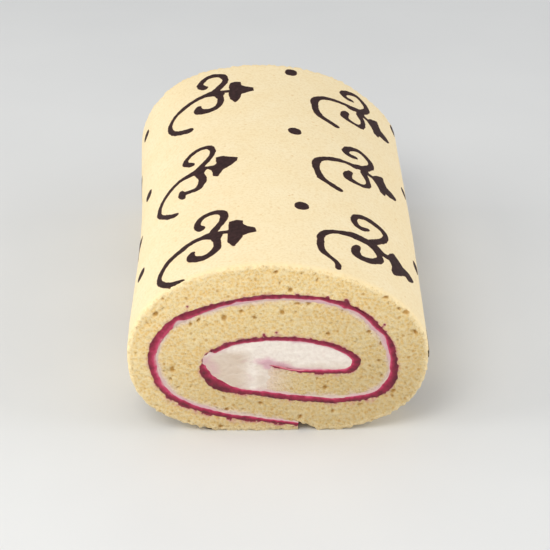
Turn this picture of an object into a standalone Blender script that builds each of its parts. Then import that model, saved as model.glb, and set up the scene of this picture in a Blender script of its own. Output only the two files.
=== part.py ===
"""A Swiss roll: one sheet of sponge rolled up over a layer of jam and a layer of cream.

The roll lies along Y and rests on Z = 0, with its cut front at -Y. Every layer is one
outline in the cross section, drawn as seen from the front, and runs the whole length.
"""

import math

import bmesh
import bpy
from mathutils import Vector

MM = 0.001

# The outside, as a superellipse in two halves: an exponent of 2 is round, more is squarer
ROLL_WIDTH = 90 * MM
ROLL_LENGTH = 152 * MM
WIDEST_HEIGHT = 26.5 * MM  # where the sides stand out furthest
CROWN_RISE = 30 * MM  # from there up to the crown
BELLY_DROP = 27.6 * MM  # from there down, before the plate flattens it
CROWN_FULLNESS = 2.0
BELLY_FULLNESS = 2.6
SHOULDER_SLOPE = 0.05  # the roll leans, so its right shoulder is lower than its left
OUTLINE_STEPS = 56  # straight pieces round the outside

# The sheet's jam side, in mm from the middle of the underside, as the places that one
# smooth line passes: from the seam to the left, over the top and twice round to the heart
JAM_LINE = (
    (6.0, 2.0),
    (-5.0, 3.5),
    (-20.0, 6.0),
    (-33.8, 13.1),
    (-38.4, 26.5),
    (-31.6, 38.2),
    (-16.0, 44.3),
    (2.0, 46.5),
    (20.5, 43.3),
    (31.8, 33.6),
    (35.4, 21.2),
    (31.2, 12.9),
    (19.5, 10.0),
    (7.0, 11.0),
    (-5.0, 12.7),
    (-15.5, 14.5),
    (-22.7, 20.1),
    (-20.6, 27.2),
    (-10.5, 31.6),
    (4.0, 32.2),
    (16.8, 29.6),
    (24.0, 24.6),
    (20.8, 20.2),
    (8.0, 20.3),
    (-3.0, 22.8),
)
CURVE_STEPS = 4  # straight pieces between two of those places
UNDER_SHEET_END = 14  # the place in JAM_LINE that lies under the sheet's inner end
SHEET_END = Vector((-6.0, 18.3)) * MM  # that end is rounded
END_STEPS = 3
SEAM_RAMP = 6 * MM  # beside its outer end, how far off the next turn lifts from the plate

# Fillings: the roll's weight has squeezed them out of its crown towards its sides
LAYER_GAP = 0.3 * MM  # between neighbouring solids
JAM_THICK = 0.9 * MM
JAM_SQUEEZE = 0.9 * MM  # what is added at the sides
CREAM_THICK = 0.7 * MM
CREAM_SQUEEZE = 1.1 * MM
SEAM_FADE = 14 * MM  # they run out over this length towards the seam
SEAM_SHARE = 0.35  # and have this share of their thickness left there

# How the section changes along the roll
STATIONS = 6  # lengths that the roll is divided into
TAPER = 0.02  # the back is this share smaller than the front
WAIST = 0.012  # and the middle this share narrower
BOW = 1 * MM  # the middle lies this far to the right
HIP = 0.9 * MM  # near the back the left side stands out
HIP_REACH = 20 * MM
SHOULDERS = (  # x, reach and rise of what sets the back's shoulders apart from the front's
    (-32 * MM, 14 * MM, 1.2 * MM),
    (39 * MM, 10 * MM, -2.2 * MM),
)

# name: colour, roughness, specular level
FINISHES = {
    "sponge": ((0.85, 0.66, 0.36), 0.85, 0.25),
    "jam": ((0.33, 0.02, 0.08), 0.25, 0.5),
    "cream": ((0.88, 0.82, 0.77), 0.45, 0.4),
}


def clear_scene():
    for obj in list(bpy.data.objects):
        bpy.data.objects.remove(obj)


def power(value, exponent):
    """value to a power, keeping its sign."""
    return math.copysign(abs(value) ** exponent, value)


def outer_point(angle):
    """A place on the outside; the angle runs from the underside up the left."""
    side, up = -math.sin(angle), -math.cos(angle)
    rise, fullness = (CROWN_RISE, CROWN_FULLNESS) if up > 0 else (BELLY_DROP, BELLY_FULLNESS)
    x = ROLL_WIDTH / 2 * power(side, 2 / fullness)
    z = WIDEST_HEIGHT + rise * power(up, 2 / fullness) - SHOULDER_SLOPE * x * max(up, 0)
    return Vector((x, max(z, 0)))


def outer_path(seam):
    """The skin, once round from the seam until it lies on the plate beside the seam again."""
    around = [outer_point(math.tau * step / OUTLINE_STEPS) for step in range(OUTLINE_STEPS)]
    first, *_, last = [i for i, point in enumerate(around) if point.y > 0]
    skin = around[first - 1 : last + 2]  # with the place at either end that lies flat
    return [Vector((seam.x, 0)), *skin, Vector((seam.x + SEAM_RAMP, 0))]


def smooth_path(places, steps):
    """A Catmull-Rom curve through the places."""
    ends = [2 * places[0] - places[1], *places, 2 * places[-1] - places[-2]]
    path = []
    for a, b, c, d in zip(ends, ends[1:], ends[2:], ends[3:]):
        for step in range(steps):
            t = step / steps
            bend = (c - a) * t + (2 * a - 5 * b + 4 * c - d) * t**2 + (3 * b - a - 3 * c + d) * t**3
            path.append(b + bend / 2)
    return path + [places[-1]]


def inward(path, depths):
    """The path moved by each depth towards the heart, which lies on its right-hand side."""
    moved = []
    for i, (point, depth) in enumerate(zip(path, depths)):
        along = path[min(i + 1, len(path) - 1)] - path[max(i - 1, 0)]
        moved.append(point + Vector((along.y, -along.x)).normalized() * depth)
    return moved


def thicknesses(path, thin, squeeze):
    """How thick a filling is along the path."""
    found, length = [], 0
    for i, point in enumerate(path):
        length += (point - path[max(i - 1, 0)]).length
        fade = SEAM_SHARE + (1 - SEAM_SHARE) * min(length / SEAM_FADE, 1)
        found.append(fade * (thin + squeeze * (2 * point.x / ROLL_WIDTH) ** 2))
    return found


def added(depths, more):
    """The depths with a gap and the next layer's thickness added, or the gap alone."""
    more = more or [0] * len(depths)
    return [depth + LAYER_GAP + thick for depth, thick in zip(depths, more)]


def settled(point):
    """Where a place of an even roll lies in this one."""
    x, y, z = point
    along = y / ROLL_LENGTH + 0.5
    middle = math.sin(math.pi * along) ** 2
    height = z / (WIDEST_HEIGHT + CROWN_RISE)
    x_now = x * (1 - TAPER * along - WAIST * middle) + BOW * middle
    x_now -= HIP * along**3 * math.exp(-(((x + ROLL_WIDTH / 2) / HIP_REACH) ** 2))
    z_now = z * (1 - TAPER * along)
    for at, reach, rise in SHOULDERS:
        z_now += rise * along * height * math.exp(-(((x - at) / reach) ** 2))
    return Vector((x_now, y, z_now))


def finish_material(name):
    colour, roughness, specular = FINISHES[name]
    material = bpy.data.materials.new(name)
    material.use_nodes = True
    shader = material.node_tree.nodes["Principled BSDF"]
    shader.inputs["Base Color"].default_value = (*colour, 1)
    shader.inputs["Roughness"].default_value = roughness
    shader.inputs["Specular IOR Level"].default_value = specular
    return material


def flat_outline(name, outline, collection):
    """The outline as a filled flat curve, drawn out to the roll's length and stood up."""
    curve = bpy.data.curves.new(name, "CURVE")
    curve.dimensions = "2D"
    curve.fill_mode = "BOTH"
    curve.extrude = ROLL_LENGTH / 2
    spline = curve.splines.new("POLY")
    spline.points.add(len(outline) - 1)
    for target, point in zip(spline.points, outline):
        target.co = (point.x, point.y, 0, 1)
    spline.use_cyclic_u = True
    obj = bpy.data.objects.new(name, curve)
    obj.rotation_euler.x = math.pi / 2
    collection.objects.link(obj)
    bpy.context.view_layer.update()
    return obj


def layer(name, outline, finish, collection):
    """A solid with this outline from the front of the roll to its back."""
    flat = flat_outline(name + "_outline", outline, collection)
    graph = bpy.context.evaluated_depsgraph_get()
    mesh = bpy.data.meshes.new_from_object(flat.evaluated_get(graph))
    mesh.name = name
    mesh.transform(flat.matrix_world)
    bpy.data.objects.remove(flat)

    bm = bmesh.new()
    bm.from_mesh(mesh)
    bmesh.ops.remove_doubles(bm, verts=bm.verts, dist=0.01 * MM)
    for station in range(1, STATIONS):
        cut = (station / STATIONS - 0.5) * ROLL_LENGTH
        everything = bm.verts[:] + bm.edges[:] + bm.faces[:]
        bmesh.ops.bisect_plane(bm, geom=everything, plane_co=(0, cut, 0), plane_no=(0, 1, 0))
    for vert in bm.verts:
        vert.co = settled(vert.co)
    bmesh.ops.recalc_face_normals(bm, faces=bm.faces)
    bm.to_mesh(mesh)
    bm.free()
    mesh.materials.clear()
    mesh.materials.append(finish_material(finish))
    mesh.shade_smooth()
    mesh.set_sharp_from_angle(angle=math.radians(40))
    collection.objects.link(bpy.data.objects.new(name, mesh))


def main():
    clear_scene()
    collection = bpy.data.collections.new("swiss_roll")
    bpy.context.scene.collection.children.link(collection)

    jam_side = smooth_path([Vector(place) * MM for place in JAM_LINE], CURVE_STEPS)
    rolled_in = UNDER_SHEET_END * CURVE_STEPS + 1  # this many points have another turn inside

    jam_top = [LAYER_GAP] * len(jam_side)
    jam_foot = [
        LAYER_GAP + thick for thick in thicknesses(jam_side, JAM_THICK, JAM_SQUEEZE)
    ]
    cream_top = added(jam_foot, None)
    cream_foot = added(jam_foot, thicknesses(jam_side, CREAM_THICK, CREAM_SQUEEZE))
    next_turn = added(cream_foot, None)

    jam = inward(jam_side, jam_top) + inward(jam_side, jam_foot)[::-1]
    layer("jam_layer", jam, "jam", collection)

    # The sheet: its skin, its outer side where it is rolled in, its end and its jam side
    skin = outer_path(jam_side[0])
    outer_side = inward(jam_side[:rolled_in], next_turn)
    end = smooth_path([outer_side[-1], SHEET_END, jam_side[-1]], END_STEPS)[1:-1]
    layer("sponge_sheet", skin + outer_side + end + jam_side[::-1], "sponge", collection)

    # The cream: under the jam all the way, round the sheet's end, back along its outer side
    under_jam = inward(jam_side, cream_top)
    over_sheet = inward(jam_side[:rolled_in], cream_foot)
    around_end = Vector((-2 * LAYER_GAP, 0))
    turn = [under_jam[-1] + around_end, SHEET_END + around_end, over_sheet[-1] + around_end]
    turn = smooth_path(turn, END_STEPS)
    layer("cream_filling", under_jam + turn + over_sheet[::-1], "cream", collection)


main()
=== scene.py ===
import math
import random

import bpy
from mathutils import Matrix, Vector, kdtree, noise


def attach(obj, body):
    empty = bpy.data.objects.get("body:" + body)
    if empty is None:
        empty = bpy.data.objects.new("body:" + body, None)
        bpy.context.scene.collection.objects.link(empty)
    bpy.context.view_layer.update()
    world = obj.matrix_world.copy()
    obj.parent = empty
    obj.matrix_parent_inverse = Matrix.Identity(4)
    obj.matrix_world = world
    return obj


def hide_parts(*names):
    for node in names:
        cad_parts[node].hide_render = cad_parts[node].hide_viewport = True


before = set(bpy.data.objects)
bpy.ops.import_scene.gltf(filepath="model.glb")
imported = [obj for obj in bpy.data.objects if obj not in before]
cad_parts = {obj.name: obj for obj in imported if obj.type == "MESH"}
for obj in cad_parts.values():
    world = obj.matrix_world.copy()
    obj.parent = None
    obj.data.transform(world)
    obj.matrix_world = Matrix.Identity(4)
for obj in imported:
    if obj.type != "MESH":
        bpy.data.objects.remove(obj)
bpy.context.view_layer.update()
mm = 0.001
print("frame loaded:", sorted(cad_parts))


# the rolled section as the solids have it, with x to the right and y up, seen from the front
roll = {
    "width": 90 * mm,
    "length": 152 * mm,
    "widestHeight": 26.5 * mm,  # where the sides stand out furthest
    "crownRise": 30 * mm,  # from there up
    "bellyDrop": 27.6 * mm,  # and down
    "crownFullness": 2.0,  # 2 is round, and more is squarer
    "bellyFullness": 2.6,
    "shoulderSlope": 0.05,  # it leans to the right
    "seamRamp": 6 * mm,
    "taper": 0.02,  # the back is a little smaller than the front
    "waist": 0.012,  # and the middle narrower
    "bow": 1 * mm,
    "hip": 0.9 * mm,
    "hipReach": 20 * mm,
    # place, reach and rise of what sets the back's shoulders apart from the front's
    "shoulders": ((-32 * mm, 14 * mm, 1.2 * mm), (39 * mm, 10 * mm, -2.2 * mm)),
}

jamPlaces = (  # the line that the jam follows, in mm, from the seam to the heart
    (6.0, 2.0), (-5.0, 3.5), (-20.0, 6.0), (-33.8, 13.1), (-38.4, 26.5),
    (-31.6, 38.2), (-16.0, 44.3), (2.0, 46.5), (20.5, 43.3), (31.8, 33.6),
    (35.4, 21.2), (31.2, 12.9), (19.5, 10.0), (7.0, 11.0), (-5.0, 12.7),
    (-15.5, 14.5), (-22.7, 20.1), (-20.6, 27.2), (-10.5, 31.6), (4.0, 32.2),
    (16.8, 29.6), (24.0, 24.6), (20.8, 20.2), (8.0, 20.3), (-3.0, 22.8),
)
underSheetEnd = 14  # the place in that line under the sheet's inner end
lineSteps = 24  # between two of those places

fillings = {
    "gap": 0.3 * mm,
    "jam": (0.9 * mm, 0.9 * mm),  # thickness at the middle, and what is added at the sides
    "cream": (0.7 * mm, 1.1 * mm),
    "seamFade": 14 * mm,  # they run out over this length towards the seam
    "seamShare": 0.35,
    "showing": (0.1 * mm, 0.42),  # how much cream shows between two turns: a least, and a share
    "drift": (1.2, 6 * mm),  # how far that comes and goes, and over what length
}


def clamp(value, low=0.0, high=1.0):
    return max(low, min(high, value))


def ease(value):  # 0 to 1 without corners
    value = clamp(value)
    return value * value * (3 - 2 * value)


def hump(distance, reach):  # 1 at no distance, and next to nothing at twice the reach
    return math.exp(-((distance / reach) ** 2))


def lumpy(x, y, z, size=1):  # smooth noise, about -1 to 1
    return noise.noise(Vector((x, y, z)) / size)


def power(value, exponent):
    return math.copysign(abs(value) ** exponent, value)


def outerPoint(angle):  # from the underside up the left
    side, up = -math.sin(angle), -math.cos(angle)
    rise, fullness = roll["bellyDrop"], roll["bellyFullness"]
    if up > 0:
        rise, fullness = roll["crownRise"], roll["crownFullness"]
    x = roll["width"] / 2 * power(side, 2 / fullness)
    lean = roll["shoulderSlope"] * x * max(up, 0)
    y = roll["widestHeight"] + rise * power(up, 2 / fullness) - lean
    return Vector((x, max(y, 0)))


def smoothLine(places, steps):  # a Catmull-Rom curve through the places
    ends = [2 * places[0] - places[1], *places, 2 * places[-1] - places[-2]]
    line = []
    for a, b, c, d in zip(ends, ends[1:], ends[2:], ends[3:]):
        for step in range(steps):
            t = step / steps
            bend = (c - a) * t + (2 * a - 5 * b + 4 * c - d) * t**2 + (3 * b - a - 3 * c + d) * t**3
            line.append(b + bend / 2)
    return line + [places[-1]]


def runOf(line):  # the length from the start to each place
    run = [0.0]
    for a, b in zip(line, line[1:]):
        run.append(run[-1] + (b - a).length)
    return run


def placesAt(line, run, targets):  # where on the line its run comes to each target
    places, i = [], 0
    for target in targets:
        while i < len(line) - 2 and run[i + 1] < target:
            i += 1
        share = clamp((target - run[i]) / max(run[i + 1] - run[i], 1e-9))
        places.append(line[i].lerp(line[i + 1], share))
    return places


def dividedLine(line, count):
    run = runOf(line)
    return placesAt(line, run, [run[-1] * step / count for step in range(count + 1)])


def evenLine(line, cell):  # the same line in equal steps of about a cell
    return dividedLine(line, max(2, round(runOf(line)[-1] / cell)))


def inwardAt(line, i):  # the direction to the heart, on the line's right-hand side
    along = line[min(i + 1, len(line) - 1)] - line[max(i - 1, 0)]
    return Vector((along.y, -along.x)).normalized()


def fillingDepths(line, thin, squeeze):
    depths = []
    for place, length in zip(line, runOf(line)):
        fade = clamp(length / fillings["seamFade"])
        fade = fillings["seamShare"] + (1 - fillings["seamShare"]) * fade
        depths.append(fade * (thin + squeeze * (2 * place.x / roll["width"]) ** 2))
    return depths


def settled(x, y, z):  # where a place of an even roll lies in this one
    along = y / roll["length"] + 0.5
    middle = math.sin(math.pi * along) ** 2
    height = z / (roll["widestHeight"] + roll["crownRise"])
    xNow = x * (1 - roll["taper"] * along - roll["waist"] * middle) + roll["bow"] * middle
    xNow -= roll["hip"] * along**3 * hump(x + roll["width"] / 2, roll["hipReach"])
    zNow = z * (1 - roll["taper"] * along)
    for at, reach, rise in roll["shoulders"]:
        zNow += rise * along * height * hump(x - at, reach)
    return Vector((xNow, y, zNow))


jamSide = smoothLine([Vector(place) * mm for place in jamPlaces], lineSteps)
jamRuns = runOf(jamSide)
jamFoot = [fillings["gap"] + depth for depth in fillingDepths(jamSide, *fillings["jam"])]
# at the cut the sponge has swelled over most of the cream between two turns
leastShowing, shareShowing = fillings["showing"]
drift, driftLength = fillings["drift"]
nextTurn = [
    foot + leastShowing + shareShowing * thick * (1 + drift * lumpy(run / driftLength, 3, 0))
    for foot, thick, run in zip(jamFoot, fillingDepths(jamSide, *fillings["cream"]), jamRuns)
]


def underJamSide(depths, first=0, last=len(jamPlaces) - 1):  # the jam's line moved inward
    span = range(round(first * lineSteps), round(last * lineSteps) + 1)
    return [jamSide[i] + inwardAt(jamSide, i) * depths[i] for i in span]


aroundSteps = 720
around = [outerPoint(math.tau * step / aroundSteps) for step in range(aroundSteps)]
lifted = [i for i, place in enumerate(around) if place.y > 0]
skinLine = [Vector((jamSide[0].x, 0)), *around[lifted[0] - 1 : lifted[-1] + 2]]
skinLine.append(Vector((jamSide[0].x + roll["seamRamp"], 0)))
# length round the skin from the seam to the crown
crownRun = runOf(skinLine)[1 + aroundSteps // 2 - (lifted[0] - 1)]


def onlySelect(piece):
    bpy.ops.object.select_all(action="DESELECT")
    piece.select_set(True)
    bpy.context.view_layer.objects.active = piece


def editAll(piece, operator, **settings):  # one edit-mode operator on the whole piece
    onlySelect(piece)
    bpy.ops.object.mode_set(mode="EDIT")
    bpy.ops.mesh.select_all(action="SELECT")
    operator(**settings)
    bpy.ops.object.mode_set(mode="OBJECT")


def editChosen(piece, kind, chosen, operator, **settings):
    # the same on some of its edges or polygons, by number
    onlySelect(piece)
    for part in (piece.data.vertices, piece.data.edges, piece.data.polygons):
        part.foreach_set("select", [False] * len(part))
    for i in chosen:
        getattr(piece.data, kind)[i].select = True
    bpy.context.tool_settings.mesh_select_mode = (False, kind == "edges", kind == "polygons")
    bpy.ops.object.mode_set(mode="EDIT")
    operator(**settings)
    bpy.ops.object.mode_set(mode="OBJECT")
    bpy.context.tool_settings.mesh_select_mode = (True, False, False)


def flatGrid(name, columns, rows):  # 1 metre square, from the origin
    bpy.ops.object.select_all(action="DESELECT")
    bpy.ops.mesh.primitive_grid_add(
        x_subdivisions=columns, y_subdivisions=rows, size=1, location=(0.5, 0.5, 0)
    )
    bpy.context.object.name = name
    bpy.ops.object.transform_apply(location=True, rotation=True, scale=True)
    return bpy.context.object


def deepened(piece, depth):
    editAll(
        piece, bpy.ops.mesh.extrude_region_move, TRANSFORM_OT_translate={"value": (0, 0, depth)}
    )
    return piece


def flatSheet(name, columns, rows):
    return deepened(flatGrid(name, columns, rows), 1)


def rollUp(sheet, columns, rows, placeOf):
    # in the sheet x runs along the section, y through the layer, z from the front to the
    # back, all 0 to 1; placeOf gives a vertex's x, y, z in the even roll and its tints, and
    # side is the way into the roll from the nearer cut
    tints = {}
    for i, vert in enumerate(sheet.data.vertices):
        column, row, back = round(vert.co.x * columns), round(vert.co.y * rows), vert.co.z
        x, y, z, tint = placeOf(column, row, back, side=1 if back < 0.5 else -1)
        vert.co = settled(x, y, z)
        for name, value in tint.items():
            tints.setdefault(name, {})[i] = value
    for name, values in tints.items():
        layer = sheet.data.attributes.new(name, "FLOAT", "POINT")
        for i, value in values.items():
            layer.data[i].value = value
    editAll(sheet, bpy.ops.mesh.normals_make_consistent, inside=False)
    return sheet


def rollY(back):  # 0 is the cut front, 1 the back
    return (back - 0.5) * roll["length"]


def hexColour(text):  # sRGB hex to linear
    parts = [int(text[i : i + 2], 16) / 255 for i in (1, 3, 5)]
    return (*[c / 12.92 if c < 0.04045 else ((c + 0.055) / 1.055) ** 2.4 for c in parts], 1)


def addNode(tree, kind, inputs=None, **settings):
    # an input is a number, a vector, a hex colour, or the node or socket to link from
    node = tree.nodes.new("ShaderNode" + kind)
    for name, value in settings.items():
        setattr(node, name, value)
    for name, value in (inputs or {}).items():
        if isinstance(value, bpy.types.Node):
            value = value.outputs[0]
        if isinstance(value, bpy.types.NodeSocket):
            tree.links.new(value, node.inputs[name])
        else:
            node.inputs[name].default_value = hexColour(value) if isinstance(value, str) else value
    return node


def newMaterial(name, roughness, specular=0.5, ior=1.5):
    material = bpy.data.materials.new(name)
    material.use_nodes = True
    tree = material.node_tree
    tree.nodes.clear()
    shine = {"Roughness": roughness, "Specular IOR Level": specular, "IOR": ior}
    shader = addNode(tree, "BsdfPrincipled", shine)
    addNode(tree, "OutputMaterial", {"Surface": shader})
    return material, tree, shader, addNode(tree, "TexCoord").outputs["Object"]


def painted(tree, shader, paints, ground, layers):
    # each layer covers the last by a share that grows to its most between two values
    under = paints[ground]
    for source, start, full, most, paint in layers:
        span = {"Value": source, "From Min": start, "From Max": full, "To Max": most}
        inputs = {0: addNode(tree, "MapRange", span), 6: under, 7: paints[paint]}
        under = addNode(tree, "Mix", inputs, data_type="RGBA").outputs[2]
    tree.links.new(under, shader.inputs["Base Color"])


def embossed(tree, shader, reliefs):
    # each relief is a height from 0 to 1, and its depth in mm
    normal = None
    for height, depth in reliefs:
        bump = addNode(tree, "Bump", {"Strength": 1, "Distance": depth * mm, "Height": height})
        if normal:
            tree.links.new(normal, bump.inputs["Normal"])
        normal = bump.outputs[0]
    tree.links.new(normal, shader.inputs["Normal"])


crumb = {
    "gold": "#fadd9e",
    "deepGold": "#f6cf88",
    "fleck": "#f3c87c",
    # damp also paints the shade towards the lower right of the cut faces
    "dampAndShade": "#95825d",
    # wall and pit: painted light on the bubble walls and painted shade in their pits
    "wall": "#fce9bb",
    "pitShade": "#ddad66",
    # painted shade in the pores and holes
    "poreShade": "#bf8c40",
    "yolk": "#f8d691",
    "rind": "#fbe6b8",
    "blush": "#c98088",
    "soaked": "#8a2a40",
    "creamed": "#e8d2c3",
    "bubble": 1.0 * mm,  # the bubbles of the crumb, drawn a little coarse to show
    "grain": 0.45 * mm,  # the ragged walls between them
    "shake": 0.7 * mm,  # what the grain moves the bubbles by, so that none is a neat cell
    "cloud": 8.0 * mm,
    "toast": 2.4 * mm,
    "hole": 3.4 * mm,  # between the holes where bubbles ran together
    "fray": 0.9,  # of the edges of what has soaked in or worn off
}


def cutSponge():
    # whisked egg sponge, sliced with a knife: a matt golden crumb of small torn bubbles, with
    # painted light on their pale walls and painted shade in their pits, holes and pores, yellow
    # at the skin, duller where it is damp from the fillings, with painted shade towards the
    # lower right, and pink where jam has soaked in
    material, tree, shader, place = newMaterial("cut_whisked_sponge", 0.92, 0.2, 1.4)
    grain, cloud, toast = (
        addNode(tree, "TexNoise", {
            "Vector": place, "Scale": 1 / crumb[size], "Detail": 3, "Roughness": rough
        })
        for size, rough in (("grain", 0.6), ("cloud", 0.5), ("toast", 0.5))
    )
    shake = {0: grain.outputs["Color"], 1: (crumb["shake"],) * 3, 2: place}
    shaken = addNode(tree, "VectorMath", shake, operation="MULTIPLY_ADD")
    cells = {"Vector": shaken, "Scale": 1 / crumb["bubble"], "Smoothness": 0.5}
    bubble = addNode(tree, "TexVoronoi", cells, feature="SMOOTH_F1")
    hole = addNode(tree, "TexVoronoi", {"Vector": shaken, "Scale": 1 / crumb["hole"]})
    poreShade, dampAndShade, *fading = (
        addNode(tree, "Attribute", attribute_name=name).outputs["Fac"]
        for name in ("poreShade", "dampAndShade", "rind", "blush", "creamed")
    )
    rind, blush, creamed = (
        addNode(tree, "Math", {0: grain, 1: crumb["fray"], 2: fade}, operation="MULTIPLY_ADD")
        for fade in fading
    )
    painted(tree, shader, crumb, "deepGold", (
        (cloud, 0.35, 0.65, 0.9, "gold"),
        (rind, 0.5, 1.0, 0.6, "yolk"),
        (toast, 0.54, 0.7, 0.6, "fleck"),
        # painted light on the bubble walls, and painted shade in the pits and the grain's hollows
        (bubble, 0.3, 0.65, 0.7, "wall"),
        (bubble, 0.22, 0.05, 0.6, "pitShade"),
        (grain, 0.46, 0.32, 0.6, "pitShade"),
        # damp, and painted shade towards the lower right
        (dampAndShade, 0.0, 0.8, 0.4, "dampAndShade"),
        # painted shade in the holes, and at the end in the open pores
        (hole, 0.19, 0.08, 0.65, "poreShade"),
        (rind, 0.95, 1.5, 0.8, "rind"),
        (creamed, 0.6, 1.3, 0.95, "creamed"),
        (blush, 0.65, 1.3, 0.8, "blush"),
        (blush, 1.15, 1.3, 0.9, "soaked"),
        (poreShade, 0.2, 0.9, 0.85, "poreShade"),
    ))
    embossed(tree, shader, ((bubble, 0.34), (grain, 0.2)))
    return material


skin = {
    "vanilla": "#f4e2bb",
    "warm": "#f1daab",
    "grainy": "#e6cb97",
    "speck": "#dcb373",
    "crumb": "#f7dda8",
    "mottle": 11.0 * mm,
    "dimple": 0.9 * mm,  # the fine bubbles under the skin
    "speckSpacing": 5.0 * mm,
    "torn": (3.4 * mm, 0.2 * mm),  # beside a cut the skin is torn away from here to here
    "fray": 3.2 * mm,  # and its torn edge wanders by this much
}


def bakedSkin():
    # the same sponge where it was baked against paper: pale, matt and smooth, with a fine
    # orange-peel of tiny bubbles and a few toasted specks, and torn down to the golden
    # crumb along the cut edges
    material, tree, shader, place = newMaterial("baked_sponge_skin", 0.75, 0.3, 1.4)
    mottle, dimple = (
        addNode(tree, "TexNoise", {
            "Vector": place, "Scale": 1 / skin[size], "Detail": 3, "Roughness": rough
        })
        for size, rough in (("mottle", 0.5), ("dimple", 0.65))
    )
    speck = addNode(tree, "TexVoronoi", {"Vector": place, "Scale": 1 / skin["speckSpacing"]})
    along = addNode(tree, "SeparateXYZ", {0: place}).outputs["Y"]
    along = addNode(tree, "Math", {0: along}, operation="ABSOLUTE")
    ragged = addNode(tree, "Math", {0: dimple, 1: skin["fray"], 2: along}, operation="MULTIPLY_ADD")
    cut = roll["length"] / 2 + skin["fray"] / 2
    painted(tree, shader, skin, "vanilla", (
        (mottle, 0.3, 0.7, 0.5, "warm"),
        (dimple, 0.46, 0.72, 0.7, "grainy"),
        (speck, 0.12, 0.04, 0.5, "speck"),
        (ragged, cut - skin["torn"][0], cut - skin["torn"][1], 0.9, "crumb"),
    ))
    embossed(tree, shader, ((dimple, 0.12),))
    return material


jam = {
    "deep": "#5c0f24",
    "red": "#9a1f40",
    "bright": "#cb4267",
    "thin": "#d9969c",
    "clot": 1.8 * mm,
    "spread": 1.1,  # how far the clots move what is dark and what is bright
}


def cookedJam():
    # raspberry jam, boiled with sugar and spread: a glossy crimson gel, nearly black where it
    # is thick and clear pink where it thins out into the cream
    material, tree, shader, place = newMaterial("cooked_raspberry_jam", 0.32, 0.5, 1.45)
    clot = addNode(tree, "TexNoise", {"Vector": place, "Scale": 1 / jam["clot"], "Detail": 4})
    # across also carries the painted light up the left
    across = addNode(tree, "Attribute", attribute_name="across").outputs["Fac"]
    spread = addNode(tree, "Math", {0: clot, 1: jam["spread"], 2: across}, operation="MULTIPLY_ADD")
    painted(tree, shader, jam, "deep", (
        (spread, 0.48, 0.92, 1.0, "red"),
        (spread, 0.94, 1.25, 0.9, "bright"),
        (spread, 1.35, 1.6, 0.8, "thin"),
    ))
    embossed(tree, shader, ((clot, 0.35),))
    return material


cream = {
    "white": "#fbf1e5",
    "shade": "#efe2d6",
    "soaked": "#d8c3ae",
    "pink": "#dba9b6",
    "smear": 4.5 * mm,
    "stretch": (0.6, 1, 1),  # of the smears
    "air": 1.2 * mm,  # its small holes
}


def whippedCream():
    # double cream, beaten and pressed by the rolling: soft white with a satin surface,
    # dulled where the sponge has drunk from it and streaked pink where jam was dragged in
    material, tree, shader, place = newMaterial("whipped_double_cream", 0.5, 0.4, 1.45)
    smears = {"Scale": 1 / cream["smear"], "Detail": 4, "Distortion": 0.8}
    smears["Vector"] = addNode(tree, "Mapping", {"Vector": place, "Scale": cream["stretch"]})
    smear = addNode(tree, "TexNoise", smears)
    air = addNode(tree, "TexNoise", {"Vector": place, "Scale": 1 / cream["air"], "Detail": 3})
    jammy, soaked = (
        addNode(tree, "Attribute", attribute_name=name).outputs["Fac"]
        for name in ("jammy", "soaked")
    )
    stain, drunk = (
        addNode(tree, "Math", {0: smear, 1: fray, 2: fade}, operation="MULTIPLY_ADD")
        for fray, fade in ((1.6, jammy), (1.0, soaked))
    )
    painted(tree, shader, cream, "shade", (
        (air, 0.35, 0.7, 1.0, "white"),
        (drunk, 0.6, 1.3, 0.9, "soaked"),
        (stain, 1.05, 1.7, 0.85, "pink"),
    ))
    embossed(tree, shader, ((air, 0.25), (smear, 0.4)))
    return material


cocoa = {
    "dark": "#2a1513",
    "light": "#3f2524",
    "edge": "#6a4636",
    "grain": 1.1 * mm,
}


def cocoaBatter():
    # chocolate sponge batter, piped on the paper and baked into the sheet: a flat matt
    # dark brown, lighter where it thins out at its edges
    material, tree, shader, place = newMaterial("piped_cocoa_batter", 0.7, 0.25, 1.45)
    grain = addNode(tree, "TexNoise", {"Vector": place, "Scale": 1 / cocoa["grain"], "Detail": 4})
    thin = addNode(tree, "Attribute", attribute_name="thin").outputs["Fac"]
    painted(tree, shader, cocoa, "dark", (
        (grain, 0.4, 0.75, 1.0, "light"),
        (thin, 0.55, 1.0, 0.8, "edge"),
    ))
    embossed(tree, shader, ((grain, 0.1),))
    return material


def finished(piece, materials, smoothAngle, slot=None, *nodes):
    for material in materials:
        piece.data.materials.append(material)
    onlySelect(piece)
    bpy.ops.object.shade_smooth_by_angle(angle=math.radians(smoothAngle))
    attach(piece, "root")
    if nodes:
        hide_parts(*nodes)
    print(piece.name, sum(len(face.vertices) - 2 for face in piece.data.polygons), "triangles")


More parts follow.
